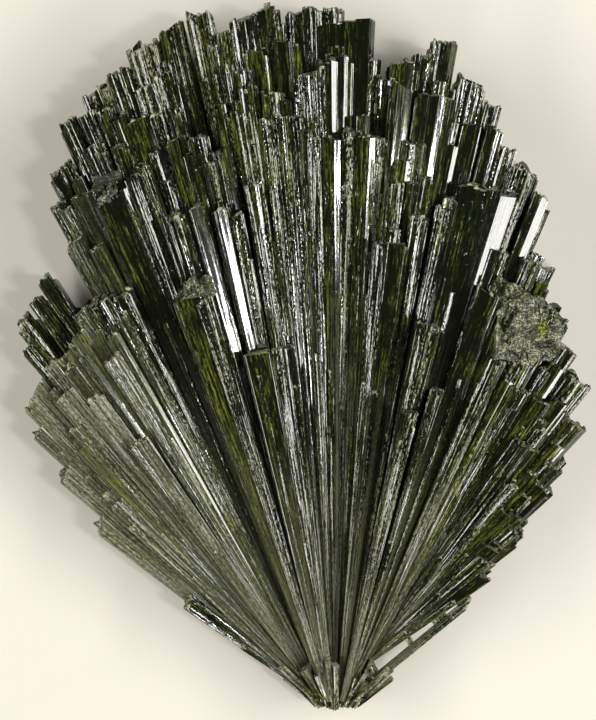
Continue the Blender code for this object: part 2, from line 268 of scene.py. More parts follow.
def seen_point(x: float, y: float, height: float) -> Vector:
    """The true place of what the camera sees at a point of the resting plane.

    A point that is nearer to the camera looks further from the middle than it is.

    Args:
        x: seen place across the fan, from the root.
        y: seen place along the fan, from the root.
        height: how high the point lies.

    Returns:
        The point in the frame, in millimetres.
    """
    share = 1.0 - height / EYE_HEIGHT
    seen_x, seen_y = x + ROOT.x, y + ROOT.y
    return Vector((EYE_X + (seen_x - EYE_X) * share, EYE_Y + (seen_y - EYE_Y) * share, height))


def root_point(angle: float, height: float) -> Vector:
    """Where a crystal springs from.

    Args:
        angle: its direction, in degrees from +Y towards +X.
        height: how high it lies there.

    Returns:
        The point in the frame, in millimetres.
    """
    share = angle / EDGE_ANGLE
    right = max(0.0, share - 0.5)
    return ROOT + Vector((FOOT_WIDTH * share - RIGHT_EDGE[0] * right,
                          FOOT_BACK + RIGHT_EDGE[1] * right, height))


# Master prisms

@dataclass
class Master:
    """A prism modelled once, ready to be copied: points, faces and which faces are broken ends.

    It stands on z = 0 and its body ends at z = 1. What lies above 1 is its end, in widths.
    """

    points: np.ndarray
    faces: list[tuple[int, ...]]
    ends: list[int]


@dataclass
class MasterPrisms:
    """Models the few prism shapes that all others are copied from.

    cuts: heights at which the body is divided, so that a copy can bend and step there.
    front_share: width of the flat front, as a share of the whole.
    """

    cuts: tuple[float, ...] = (0.4, 0.75)
    front_share: float = 0.84
    step_rise: float = 0.35
    roof_rise: float = 0.25
    rough_seed: int = 4
    shapes: dict[Cut, Master] = field(default_factory=dict)

    def start(self, sides: int) -> Object:
        """Adds an upright prism of unit size and opens it in edit mode.

        Args:
            sides: how many side faces it has.

        Returns:
            The object, in edit mode with nothing selected.
        """
        bpy.ops.mesh.primitive_cylinder_add(vertices=sides, radius=0.5, depth=1.0,
                                            location=(0.0, 0.0, 0.5),
                                            rotation=(0.0, 0.0, math.pi / sides))
        prism = bpy.context.object
        bpy.ops.object.transform_apply(location=True, rotation=True, scale=True)
        bpy.ops.object.mode_set(mode="EDIT")
        bpy.ops.mesh.select_all(action="SELECT")
        bpy.ops.transform.resize(value=(1.0, 1.0 / math.cos(math.pi / sides), 1.0),
                                 center_override=(0.0, 0.0, 0.0))
        self.widen_front(prism, sides)
        for height in self.cuts:
            bpy.ops.mesh.select_all(action="SELECT")
            bpy.ops.mesh.bisect(plane_co=(0.0, 0.0, height), plane_no=(0.0, 0.0, 1.0))
        bpy.ops.mesh.select_all(action="DESELECT")
        return prism

    def widen_front(self, prism: Object, sides: int) -> None:
        """Widens the front and back faces, so that the prism is a lath with cut corners.

        Args:
            prism: the object in edit mode.
            sides: how many side faces it has.
        """
        bpy.ops.mesh.select_mode(type="VERT")
        bpy.ops.mesh.select_all(action="DESELECT")
        shape = bmesh.from_edit_mesh(prism.data)
        for vert in shape.verts:
            vert.select = abs(vert.co.y) > 0.5 - NEAR
        bmesh.update_edit_mesh(prism.data)
        bpy.ops.transform.resize(value=(self.front_share / math.sin(math.pi / sides), 1.0, 1.0),
                                 center_override=(0.0, 0.0, 0.0))

    def pick_end(self, prism: Object, left_only: bool = False) -> None:
        """Selects the top face, or only its left part.

        Args:
            prism: the object in edit mode.
            left_only: leaves out what lies right of the middle.
        """
        bpy.ops.mesh.select_mode(type="FACE")
        shape = bmesh.from_edit_mesh(prism.data)
        for face in shape.faces:
            middle = face.calc_center_median()
            face.select = (face.normal.z > 0.7 and middle.z > 0.98
                           and (middle.x < 0.0 or not left_only))
        bmesh.update_edit_mesh(prism.data)

    def finish(self, prism: Object) -> Master:
        """Leaves edit mode, reads the shape and removes the object.

        Args:
            prism: the object in edit mode.

        Returns:
            The shape as arrays.
        """
        bpy.ops.mesh.select_all(action="SELECT")
        bpy.ops.mesh.normals_make_consistent(inside=False)
        bpy.ops.object.mode_set(mode="OBJECT")
        mesh = prism.data
        points = np.array([vert.co for vert in mesh.vertices])
        faces = [tuple(face.vertices) for face in mesh.polygons]
        ends = [int(face.center.z > 1.0 - NEAR or face.center.z < NEAR)
                for face in mesh.polygons]
        bpy.data.objects.remove(prism)
        return Master(points, faces, ends)

    def model_plain(self) -> Master:
        """A six-sided prism with a flat end."""
        return self.finish(self.start(6))

    def model_stepped(self) -> Master:
        """A prism whose end has a step: the left half stands higher."""
        prism = self.start(6)
        self.pick_end(prism)
        bpy.ops.mesh.bisect(plane_co=(0.05, 0.0, 1.0), plane_no=(1.0, 0.12, 0.0))
        self.pick_end(prism, left_only=True)
        bpy.ops.mesh.extrude_region_move(
            TRANSFORM_OT_translate={"value": (0.0, 0.0, self.step_rise)})
        return self.finish(prism)

    def model_roofed(self) -> Master:
        """A prism that ends in two sloping faces, as epidote grows where nothing hinders it."""
        prism = self.start(6)
        self.pick_end(prism)
        bpy.ops.mesh.extrude_region_move(
            TRANSFORM_OT_translate={"value": (0.0, 0.0, self.roof_rise)})
        bpy.ops.transform.resize(value=(0.3, 0.9, 1.0), center_override=(-0.12, 0.0, 1.0))
        return self.finish(prism)

    def model_rough(self) -> Master:
        """A prism that is broken across: its end is divided and each point moved a little."""
        prism = self.start(8)
        self.pick_end(prism)
        bpy.ops.mesh.inset(thickness=0.06)
        bpy.ops.mesh.poke()
        bpy.ops.mesh.subdivide(number_cuts=3)
        bpy.ops.transform.vertex_random(offset=0.05, uniform=0.4, normal=0.6,
                                        seed=self.rough_seed)
        return self.finish(prism)

    def model_all(self) -> None:
        """Models every shape once."""
        self.shapes = {Cut.PLAIN: self.model_plain(), Cut.STEPPED: self.model_stepped(),
                       Cut.ROOFED: self.model_roofed(), Cut.ROUGH: self.model_rough()}


@dataclass(frozen=True)
class Kit:
    """What the pieces are made from: master prisms, and the finishes of faces and of ends."""

    masters: MasterPrisms
    grown: Material
    broken: Material


@dataclass(frozen=True)
class Lath:
    """Size and looks of one copy of a master prism.

    width, depth: at its tip. foot_share: those at its foot, as a share. slope: how far the end
    rises to the right, in degrees. slant: how far the end's front edge lies short of its back
    edge. tone, dust, haze: as of a prism, the last a painted grey reflection of
    the pale floor on roughened faces. polish: 0 striated, 1 mirror smooth. wobble: how far the
    body strays from a straight line.
    """

    width: float
    depth: float
    foot_share: float = ROOT_SHARE
    slope: float = 0.0
    slant: float = 0.0
    tone: float = 0.2
    dust: float = 0.3
    polish: float = 0.0
    haze: float = 0.0
    wobble: float = 0.012


@dataclass
class Growth:
    """Copies of the master prisms, joined in one mesh.

    name: the piece's name. seed: fixes the small differences. root_tone,
    root_dust_and_reflection, root_etch_and_reflection: how much greener, paler and greyer a prism
    is at its foot. The added paleness is partly dust and partly painted reflection of the pale
    floor; the grey is painted reflection of that floor on faces roughened matt.
    etch_and_reflection_end: share of its length at which that painted grey ends. drift: how far
    apart the copies' patterns may lie. flatness: least width for the pattern around a prism, as
    a share of its depth.
    """

    name: str
    kit: Kit
    seed: int
    root_tone: float = 0.15
    # Paleness added at the foot is partly dust and partly painted reflection of the pale floor.
    root_dust_and_reflection: float = 0.3
    # Grey added at the foot, and where it ends: painted reflection of the pale floor.
    root_etch_and_reflection: float = 1.0
    etch_and_reflection_end: float = 0.62
    drift: float = 90.0
    flatness: float = 0.6
    points: list[np.ndarray] = field(default_factory=list)
    faces: list[tuple[int, ...]] = field(default_factory=list)
    ends: list[int] = field(default_factory=list)
    uvs: list[np.ndarray] = field(default_factory=list)
    looks: list[np.ndarray] = field(default_factory=list)
    count: int = 0

    def __post_init__(self) -> None:
        """Starts the random draws."""
        self.rng = random.Random(self.seed)

    def add(self, cut: Cut, foot: Vector, tip: Vector, facing: Vector, lath: Lath) -> None:
        """Lays one copy from foot to tip.

        Args:
            cut: which shape is copied.
            foot: middle of the copy's foot.
            tip: middle of its end.
            facing: direction that its front faces.
            lath: its size and looks.
        """
        master = self.kit.masters.shapes[cut]
        along = tip - foot
        length = along.length
        along.normalize()
        across = along.cross(facing).normalized()
        front = across.cross(along)
        local = master.points
        rise = np.clip(local[:, 2], 0.0, 1.0)
        beyond = np.maximum(local[:, 2] - 1.0, 0.0) * lath.width
        taper = lath.foot_share + (1.0 - lath.foot_share) * rise
        side = local[:, 0] * lath.width * taper
        deep = local[:, 1] * lath.depth * taper
        reach = rise * length + beyond + rise * side * math.tan(math.radians(lath.slope))
        reach -= (local[:, 2] > 1.0 - NEAR) * (local[:, 1] + 0.5) * lath.slant
        for height in self.kit.masters.cuts:
            ring = np.abs(rise - height) < NEAR
            side[ring] += self.rng.uniform(-lath.wobble, lath.wobble)
            deep[ring] += self.rng.uniform(-lath.wobble, lath.wobble)
        self.points.append(np.array(foot) + np.outer(reach, np.array(along))
                           + np.outer(side, np.array(across)) + np.outer(deep, np.array(front)))
        girth = 0.5 * max(lath.width, self.flatness * lath.depth)
        round_at = np.arctan2(local[:, 0], local[:, 1]) * girth
        drift = self.rng.uniform(0.0, self.drift)
        from_tip = (1.0 - rise) * length
        for face, end in zip(master.faces, master.ends):
            index = list(face)
            turn = round_at[index]
            if turn.max() - turn.min() > math.pi * girth:
                turn = np.where(turn < 0.0, turn + 2.0 * math.pi * girth, turn)
            uv = (side[index], deep[index]) if end else (turn, from_tip[index])
            self.uvs.append(np.stack((uv[0] + drift, uv[1] + end * drift), axis=1))
            self.faces.append(tuple(vert + self.count for vert in face))
            self.ends.append(end)
        footward = 1.0 - rise
        # Towards the foot the painted grey grows: a reflection of the pale floor laid over roughened
        # faces.
        self.looks.append(np.stack((
            # Paler towards the foot: partly dust, partly painted reflection of the pale floor.
            lath.tone + self.root_tone * footward, lath.dust + self.root_dust_and_reflection * footward,
            np.full(len(local), lath.polish),
            lath.haze + self.root_etch_and_reflection * np.maximum(0.0, 1.0 - rise / self.etch_and_reflection_end))))
        self.count += len(local)

    def build(self) -> Object:
        """Makes the joined mesh and dresses it.

        Returns:
            The finished piece.
        """
        mesh = bpy.data.meshes.new(self.name)
        mesh.from_pydata((np.concatenate(self.points) * MM).tolist(), [], self.faces)
        mesh.uv_layers.new(name="Growth").uv.foreach_set(
            "vector", np.concatenate(self.uvs).astype(np.float32).ravel())
        looks = np.concatenate(self.looks, axis=1).astype(np.float32)
        store(mesh, dict(zip(("tone", "dust", "polish", "haze"), looks)))
        mesh.materials.append(self.kit.grown)
        mesh.materials.append(self.kit.broken)
        mesh.polygons.foreach_set("material_index", self.ends)
        mesh.validate()
        mesh.update()
        piece = bpy.data.objects.new(self.name, mesh)
        bpy.context.scene.collection.objects.link(piece)
        attach(piece)
        return piece


def store(mesh: Mesh, values: dict[str, np.ndarray]) -> None:
    """Stores values at a mesh's points, for the finishes to read.

    Args:
        mesh: the mesh.
        values: one number for each point, by the attribute's name.
    """
    for name, numbers in values.items():
        mesh.attributes.new(name, "FLOAT", "POINT").data.foreach_set("value", numbers)


def attach(piece: Object) -> None:
    """Lets a finished piece stand for the solid fan, and reports it.

    Args:
        piece: the piece.
    """
    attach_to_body(piece, "root")
    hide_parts("crystal_fan")
    LOG.info("%s: %d triangles", piece.name,
             sum(len(face.vertices) - 2 for face in piece.data.polygons))


# Finishes

def linear(code: str) -> tuple[float, float, float, float]:
    """Turns an sRGB hex colour into linear light.

    Args:
        code: colour such as "#1a2b3c".

    Returns:
        Red, green, blue and alpha.
    """
    parts = [int(code[i:i + 2], 16) / 255.0 for i in (1, 3, 5)]
    red, green, blue = (c / 12.92 if c <= 0.04045 else ((c + 0.055) / 1.055) ** 2.4
                        for c in parts)
    return red, green, blue, 1.0


def fit(tree: NodeTree, node: Node, settings: dict | None = None,
        links: dict | None = None) -> Node:
    """Gives a node its settings and links.

    Args:
        tree: where it stands.
        node: the node.
        settings: properties, or values of inputs by their name or number. "stops" fills a ramp.
        links: what feeds inputs, by their name or number: an output, or a node for its first.

    Returns:
        The node.
    """
    for key, value in (settings or {}).items():
        if key == "stops":
            ramp = node.color_ramp.elements
            while len(ramp) < len(value):
                ramp.new(0.5)
            for element, (place, colour) in zip(ramp, value):
                element.position = place
                element.color = linear(colour)
        elif isinstance(key, str) and hasattr(node, key):
            setattr(node, key, value)
        else:
            node.inputs[key].default_value = value
    for key, source in (links or {}).items():
        output = source.outputs[0] if isinstance(source, Node) else source
        tree.links.new(output, node.inputs[key])
    return node


def add_node(tree: NodeTree, kind: str, settings: dict | None = None,
             links: dict | None = None) -> Node:
    """Adds a node with its settings and links.

    Args:
        tree: where it goes.
        kind: Blender's name of the node type, without its "ShaderNode".
        settings: its settings, as fit takes them.
        links: its links, as fit takes them.

    Returns:
        The node.
    """
    return fit(tree, tree.nodes.new("ShaderNode" + kind), settings, links)


def add_shares(add: Callable, start: float | Node, parts: Iterable) -> Node:
    """Adds shares of several patterns to a start.

    Args:
        add: adds a node to the tree.
        start: a number or a node.
        parts: each pattern and its share.

    Returns:
        The node that gives the sum.
    """
    total = start
    for part, share in parts:
        settings, links = {"operation": "MULTIPLY_ADD", 1: share}, {0: part}
        (settings if isinstance(total, float) else links)[2] = total
        total = add("Math", settings, links)
    return total


def new_material(name: str) -> tuple[Material, NodeTree, Node]:
    """Starts a material.

    Args:
        name: its name.

    Returns:
        The material, its nodes and its shader.
    """
    material = bpy.data.materials.new(name)
    material.use_nodes = True
    return material, material.node_tree, material.node_tree.nodes["Principled BSDF"]


@dataclass(frozen=True)
class Streaks:
    """Noise drawn out along the prism: cells to a millimetre across and along it, and octaves."""

    across: float
    along: float
    detail: float = 2.0


@dataclass(frozen=True)
class Strips:
    """Long flat strips side by side along the prism, each turned its own way.

    across, along: strips to a millimetre. turn: steepest slope across a strip. lean: steepest
    slope along it.
    """

    across: float
    along: float
    turn: float
    lean: float


@dataclass(frozen=True)
class GrownFace:
    """Epidote's natural prism faces: glassy, almost black, striated along their length.

    The striations are flat strips 0.08 to 0.2 mm wide, each of which mirrors its own way. Thin
    parts let olive to yellow-green light through. Pale dust sits near the tips, and towards the
    root the faces are roughened matt and painted grey; the grey is painted reflection of the pale
    floor.

    green, etch_and_reflection_shares and wear: shares of the patterns in how green, how grey
    and matt, and how worn a place is. glow: over which greens that painted grey thins, and to
    what share. tip_wear: how worn a tip is, and how far that goes. pale_from: over which wear
    dust appears.
    """

    black: str = "#0a0e04"
    deep: str = "#1f250b"
    olive: str = "#3f4416"
    lime: str = "#747c24"
    dust: str = "#8f9176"
    # Grey painted over roughened faces, as the reflection of the pale floor.
    haze: str = "#7c7e61"
    clear_roughness: float = 0.08
    dusty_roughness: float = 0.5
    hazy_roughness: float = 0.7          # how rough haze makes a face, as a share of dusty
    bands: Streaks = Streaks(1.4, 0.13)
    patches: Streaks = Streaks(5.0, 0.6, 3.0)
    grains: Streaks = Streaks(9.0, 3.0)
    striations: tuple[Strips, ...] = (Strips(5.0, 0.08, 0.55, 0.03), Strips(12.0, 0.25, 0.3, 0.05))
    regions: float = 110.0               # cells to a metre of the fan
    grain_rise: float = 0.012            # height of grains, in millimetres
    smooth: float = 0.02                 # what polish leaves of the relief
    stops: tuple[float, ...] = (0.61, 0.66, 0.73, 0.86)
    green: tuple[float, ...] = (0.15, 0.5, 0.2, 0.14, 0.1, 0.25)
    glow: Triple = (0.7, 0.84, 0.25)
    etch_and_reflection_shares: Triple = (-0.35, 0.5, 1.5)
    tip_wear: Pair = (0.18, 0.22)
    wear: tuple[float, ...] = (0.8, 0.25, 0.35, 0.5, -0.3)
    pale_from: Pair = (1.08, 1.2)

    def striate(self, add: Callable, growth: Node, relief: Node
                ) -> tuple[Node, NodeSocket]:
        """Adds the striations to the relief.

        Args:
            add: adds a node to the tree.
            growth: the places along and around each prism.
            relief: the height so far.

        Returns:
            The whole height, and a random number for each of the finest strips.
        """
        for strips in self.striations:
            drawn = add("Mapping", {"Scale": (strips.across, strips.along, 1.0)},
                        {"Vector": growth})
            cells = add("TexVoronoi", {"voronoi_dimensions": "2D", "Scale": 1.0},
                        {"Vector": drawn})
            offset = add("VectorMath", {"operation": "SUBTRACT"},
                         {0: drawn, 1: cells.outputs["Position"]})
            lean = add("VectorMath", {"operation": "SUBTRACT", 1: (0.5, 0.5, 0.5)},
                       {0: cells.outputs["Color"]})
            raised = add("VectorMath", {"operation": "MULTIPLY"}, {0: offset, 1: lean})
            slopes = (2.0 * strips.turn / strips.across, 2.0 * strips.lean / strips.along, 0.0)
            height = add("VectorMath", {"operation": "DOT_PRODUCT", 1: slopes}, {0: raised})
            relief = add("Math", {"operation": "ADD"}, {0: relief, 1: height.outputs["Value"]})
            chance = add("SeparateXYZ", None, {0: cells.outputs["Color"]}).outputs["Z"]
        return relief, chance

    def make(self, name: str) -> Material:
        """Makes the material.

        Args:
            name: the material's name.

        Returns:
            The material.
        """
        material, tree, shader = new_material(name)
        add = partial(add_node, tree)
        growth = add("UVMap", {"uv_map": "Growth"})
        tone, dust, polish, haze = (add("Attribute", {"attribute_name": word}).outputs["Fac"]
                                    for word in ("tone", "dust", "polish", "haze"))
        noises = []
        for streaks in (self.bands, self.patches, self.grains):
            drawn = add("Mapping", {"Scale": (streaks.across, streaks.along, 1.0)},
                        {"Vector": growth})
            noises.append(add("TexNoise", {"noise_dimensions": "2D", "Scale": 1.0,
                                           "Detail": streaks.detail}, {"Vector": drawn}))
        bands, patches, grains = noises
        place = add("TexCoord").outputs["Object"]
        regions = add("TexNoise", {"Scale": self.regions, "Detail": 2.0}, {"Vector": place})
        relief = add("Math", {"operation": "MULTIPLY", 1: self.grain_rise}, {0: grains})
        relief, chance = self.striate(add, growth, relief)

        through = add_shares(add, 0.0, zip((bands, patches, regions, tone, chance, grains),
                                           self.green))
        colours = (self.black, self.deep, self.olive, self.lime)
        body = add("ValToRGB", {"stops": tuple(zip(self.stops, colours))}, {"Fac": through})
        # Painted reflection of the pale floor: grey mixed into the colour where faces are roughened
        # matt, thinner where green shows through.
        least, strip_share, grain_share = self.etch_and_reflection_shares
        etched_and_reflecting = add_shares(add, least, ((chance, strip_share), (grains, grain_share)))
        etched_and_reflecting = add("Math", {"operation": "MULTIPLY", "use_clamp": True}, {0: etched_and_reflecting, 1: haze})
        unglowing = add("MapRange", {
            "From Min": self.glow[0], "From Max": self.glow[1], "To Min": 1.0,
            "To Max": self.glow[2]}, {"Value": through})
        veil = add("Math", {"operation": "MULTIPLY"}, {0: etched_and_reflecting, 1: unglowing})
        body_and_reflection = add("Mix", {"data_type": "RGBA", 7: linear(self.haze)}, {0: veil, 6: body})

        from_tip = add("SeparateXYZ", None, {0: growth}).outputs["Y"]
        worn = add("MapRange", {"From Min": 0.0, "From Max": self.tip_wear[1],
                                "To Min": self.tip_wear[0], "To Max": 0.0}, {"Value": from_tip})
        worn = add_shares(add, worn, zip((grains, chance, dust, regions, polish), self.wear))
        pale = add("MapRange", {"From Min": self.pale_from[0], "From Max": self.pale_from[1]},
                   {"Value": worn})
        colour = add("Mix", {"data_type": "RGBA", 7: linear(self.dust)},
                     {0: pale, 6: body_and_reflection.outputs[2]})
        matt = add_shares(add, pale, ((etched_and_reflecting, self.hazy_roughness),))
        rough = add("MapRange", {"To Min": self.clear_roughness,
                                 "To Max": self.dusty_roughness}, {"Value": matt})
        depth = add("MapRange", {"To Min": 1.0, "To Max": self.smooth}, {"Value": polish})
        bump = add("Bump", {"Distance": MM}, {"Strength": depth, "Height": relief})
        fit(tree, shader, {"IOR": REFRACTION},
            {"Base Color": colour.outputs[2], "Roughness": rough, "Normal": bump})
        return material


@dataclass(frozen=True)
class BrokenEnd:
    """Epidote broken or etched across the prism: uneven, sugary, pale green-grey in the light.

    stops: where dark, mid and pale lie. dust_share, lump_share: in how pale a place is.
    mottle: share of the grains in a lime spot's edge. spot: over which tones it appears, and
    how strong it gets.
    """

    dark: str = "#1a1d12"
    mid: str = "#5f624a"
    pale: str = "#b9bb9b"
    lime: str = "#a9b52a"
    grain: float = 8000.0                # grains to a metre
    lump: float = 1300.0                 # and lumps
    groove: float = 0.00015
    roughness: float = 0.45
    stops: tuple[float, ...] = (0.78, 0.93, 1.0)
    dust_share: float = 0.35
    lump_share: float = 0.5
    mottle: float = 1.2
    spot: Triple = (1.45, 2.1, 0.85)

    def make(self, name: str) -> Material:
        """Makes the material.

        Args:
            name: the material's name.

        Returns:
            The material.
        """
        material, tree, shader = new_material(name)
        add = partial(add_node, tree)
        place = add("TexCoord").outputs["Object"]
        dust, tone = (add("Attribute", {"attribute_name": word}).outputs["Fac"]
                      for word in ("dust", "tone"))
        grains = add("TexNoise", {"Scale": self.grain, "Detail": 3.0}, {"Vector": place})
        lumps = add("TexNoise", {"Scale": self.lump, "Detail": 2.0}, {"Vector": place})
        worn = add_shares(add, grains, ((dust, self.dust_share), (lumps, self.lump_share)))
        stops = tuple(zip(self.stops, (self.dark, self.mid, self.pale)))
        sugar = add("ValToRGB", {"stops": stops}, {"Fac": worn})
        mottled = add_shares(add, tone, ((grains, self.mottle),))
        spot = add("MapRange", {"From Min": self.spot[0], "From Max": self.spot[1],
                                "To Max": self.spot[2]}, {"Value": mottled})
        colour = add("Mix", {"data_type": "RGBA", 7: linear(self.lime)}, {0: spot, 6: sugar})
        bump = add("Bump", {"Strength": 0.8, "Distance": self.groove}, {"Height": grains})
        fit(tree, shader, {"Roughness": self.roughness, "IOR": REFRACTION},
            {"Base Color": colour.outputs[2], "Normal": bump})
        return material


# Sub-assemblies

@dataclass
class Stem:
    """A prism of the fan, laid out from the root to its tip.

    foot, tip: middle of its front at both. right_turn: how far its right face turns from the
    front, in degrees. along, across, front: its directions. falls: how far its left and its
    right face fall back at their outer edges.
    """

    prism: Prism
    foot: Vector
    tip: Vector
    right_turn: float

    def __post_init__(self) -> None:
        """Works out its directions and falls."""
        self.along = (self.tip - self.foot).normalized()
        self.across = self.along.cross(UP).normalized()
        self.front = self.across.cross(self.along)
        self.falls = (self.prism.left * self.prism.width * math.tan(math.radians(SIDE_TURN)),
                      self.prism.right * self.prism.width
                      * math.tan(math.radians(self.right_turn)))


POLISHES = {Sheen.STRIATED: (0.0, 0.0, 0.0), Sheen.GLASSY: (0.3, 0.88, 0.4),
            Sheen.BRIGHT_FRONT: (0.0, 0.92, 0.2), Sheen.BRIGHT_SIDE: (0.2, 0.75, 0.9),
            Sheen.SILVER_SIDE: (0.2, 0.75, 0.93)}      # of left side, front and right side
FRONT_LEANS = {Sheen.BRIGHT_FRONT: math.radians(KEY_TURN), Sheen.BRIGHT_SIDE: -0.08}
RIGHT_TURNS = {Sheen.BRIGHT_SIDE: KEY_TURN, Sheen.SILVER_SIDE: SILVER_TURN}
OTHER_RIGHT_TURNS = (SILVER_TURN, SILVER_TURN, SIDE_TURN)


@dataclass
class PrismTier:
    """A group of the fan's prisms, each a body of crystals with the ribs that striate it.

    The body is thickness of its tip's height deep, with extra added, or stoutness of its width.
    It lies cover under the ribs, and its front crystal falls front_short behind them. The
    crystals behind that are as deep as layer says, about layer_width wide with lap between
    them, and fall short by back_short and recess. A rough end slopes back by rough_slant, and
    rim of a plain end is seen from above.

    Ribs stand out by rib_rise and end as unevenly as stagger says. Ledges are short ribs that
    end part of the way up, so many to a millimetre of width, and fewer on smooth fronts.
    """

    name: str
    prisms: tuple[Prism, ...]
    seed: int
    thickness: float = 0.55
    extra: float = 0.8
    stoutness: float = 0.8
    cover: float = 0.07
    front_short: float = 0.12
    back_short: float = 0.2
    recess: Pair = (0.0, 0.9)
    layer: Pair = (0.6, 1.3)
    layer_width: float = 1.3
    back_width: Pair = (0.8, 1.0)
    lap: float = 1.15
    back_slope: float = 35.0
    back_slant: float = 0.4
    back_dust: float = 0.3
    rough_slant: float = 1.4
    rim: float = 0.22
    rib_rise: float = 0.07
    rib_share: Pair = (0.45, 1.4)
    rib_depth: Pair = (0.2, 0.35)
    rib_lap: float = 1.08
    stagger: float = 0.5
    rib_slope: float = 10.0
    rib_slant: Pair = (0.1, 0.5)
    rib_tone: Pair = (-0.25, 0.2)
    rib_dust: Pair = (-0.4, 0.3)
    ledges: float = 1.4
    fewer: float = 0.4
    ledge_end: Pair = (0.4, 0.96)
    ledge_foot: float = 0.1
    ledge_side: float = 0.42
    ledge_rise: Pair = (-0.02, 0.08)
    ledge_width: Pair = (0.2, 0.5)
    ledge_size: float = 0.3
    ledge_tone: Pair = (-0.1, 0.45)
    ledge_dust: Pair = (-0.1, 0.4)

    def lay_body(self, growth: Growth, stem: Stem, depths: random.Random) -> None:
        """Lays the prism's body: crystals behind one another, down to the resting bed.

        Args:
            growth: where the copies go.
            stem: the prism, laid out.
            depths: where the differences between the layers come from.
        """
        prism, along, front = stem.prism, stem.along, stem.front
        view = (Vector((EYE_X, EYE_Y, EYE_HEIGHT)) - stem.tip).normalized()
        rough = prism.cut is Cut.ROUGH
        whole = max(self.thickness * stem.tip.z + self.extra, prism.width * self.stoutness)
        depth = max(*stem.falls) + self.layer[0]
        slant = self.rough_slant if rough else self.rim - depth * along.dot(view) / front.dot(view)
        middle = (front * (depth / 2.0 + self.cover)
                  - stem.across * (prism.left - prism.right) * prism.width / 2.0)
        growth.add(prism.cut if rough else Cut.PLAIN, stem.foot - middle * ROOT_SHARE,
                   stem.tip - middle - along * (self.front_short - min(slant, 0.0)), front,
                   Lath(prism.width * (1.0 - prism.left - prism.right), depth, slope=prism.slope,
                        slant=slant, tone=prism.tone, dust=prism.dust, haze=prism.haze,
                        wobble=0.0))
        back = depth - self.layer[0] / 2.0
        count = max(1, round(prism.width / self.layer_width))
        while back < whole:
            depth = depths.uniform(*self.layer)
            for number in range(count):
                aside = ((number + 0.5) / count - 0.5) * prism.width
                middle = front * (back + depth / 2.0) + stem.across * aside
                short = self.back_short + depths.uniform(*self.recess)
                growth.add(depths.choice((Cut.PLAIN, Cut.ROOFED)), stem.foot - middle * ROOT_SHARE,
                           stem.tip - middle - along * short, front,
                           Lath(prism.width / count * depths.uniform(*self.back_width),
                                depth * self.lap,
                                slope=depths.uniform(-self.back_slope, self.back_slope),
                                slant=depths.uniform(-self.back_slant, self.back_slant),
                                tone=prism.tone, dust=prism.dust * self.back_dust,
                                haze=prism.haze, wobble=0.0))
            back += depth

    def lay_ribs(self, growth: Growth, stem: Stem) -> None:
        """Lays a prism's ribs over its left side, its front and its right side.

        Args:
            growth: where the copies go.
            stem: the prism, laid out.
        """
        prism, rng = stem.prism, growth.rng
        half = prism.width / 2.0
        left_fall, right_fall = stem.falls
        bends = ((-half, -left_fall), (-half + prism.left * prism.width, 0.0),
                 (half - prism.right * prism.width, 0.0), (half, -right_fall))
        rough = prism.cut is Cut.ROUGH
        for (x0, y0), (x1, y1), polish in zip(bends, bends[1:], POLISHES[prism.sheen]):
            span = math.hypot(x1 - x0, y1 - y0)
            if span < 0.05:
                continue
            turn = math.atan2(y1 - y0, x1 - x0)
            lean = 0.0 if y0 != y1 else FRONT_LEANS.get(prism.sheen, 0.0)
            facing = stem.front * math.cos(turn) - stem.across * math.sin(turn)
            shares = [0.0, span] if polish >= 0.9 else [0.0]
            while shares[-1] < span:
                shares.append(shares[-1] + prism.rib * rng.uniform(*self.rib_share))
            for start, stop in zip(shares, shares[1:]):
                share = (start + stop) / 2.0 / shares[-1]
                wide = (stop - start) / shares[-1] * span
                depth = rng.uniform(*self.rib_depth)
                rise = self.rib_rise * rng.random() * (1.0 - 0.7 * polish) - depth / 2.0
                middle = x0 + (x1 - x0) * share
                off = (stem.across * middle + stem.front * (y0 + (y1 - y0) * share)
                       + facing * rise)
                end = middle * math.tan(math.radians(prism.slope))
                end -= self.stagger * rng.random() ** 2.5 * (1.0 - 0.6 * polish)
                end -= self.rough_slant if rough else 0.0
                tilt = facing + stem.across * (lean + rng.uniform(-0.1, 0.1) * (1.0 - polish))
                cut = rng.choice((Cut.PLAIN, Cut.PLAIN, Cut.STEPPED, Cut.ROOFED))
                growth.add(cut if wide < 0.8 else Cut.PLAIN, stem.foot + off * ROOT_SHARE,
                           stem.tip + off + stem.along * end, tilt,
                           Lath(wide * self.rib_lap, depth,
                                slope=prism.slope + rng.uniform(-self.rib_slope, self.rib_slope),
                                slant=depth * rng.uniform(*self.rib_slant),
                                tone=prism.tone + rng.uniform(*self.rib_tone),
                                dust=prism.dust + rng.uniform(*self.rib_dust), polish=polish,
                                haze=prism.haze))

    def lay_ledges(self, growth: Growth, stem: Stem) -> None:
        """Lays short ribs on a prism's front that end part of the way up.

        Args:
            growth: where the copies go.
            stem: the prism, laid out.
        """
        prism, foot, tip, front, rng = stem.prism, stem.foot, stem.tip, stem.front, growth.rng
        fewer = self.fewer if prism.sheen in (Sheen.GLASSY, Sheen.BRIGHT_FRONT) else 1.0
        for _ in range(round(self.ledges * prism.width * fewer)):
            share = rng.uniform(*self.ledge_end)
            off = stem.across * rng.uniform(-self.ledge_side, self.ledge_side) * prism.width
            end = foot.lerp(tip, share) + off * share + front * rng.uniform(*self.ledge_rise)
            start = foot.lerp(tip, self.ledge_foot) + off * ROOT_SHARE
            growth.add(rng.choice((Cut.STEPPED, Cut.ROOFED, Cut.PLAIN)), start, end - front * 0.1,
                       front + stem.across * rng.uniform(-0.3, 0.3),
                       Lath(rng.uniform(*self.ledge_width), self.ledge_size, self.ledge_size,
                            rng.uniform(-15.0, 15.0), 0.12,
                            prism.tone + rng.uniform(*self.ledge_tone),
                            prism.dust + rng.uniform(*self.ledge_dust), haze=prism.haze))

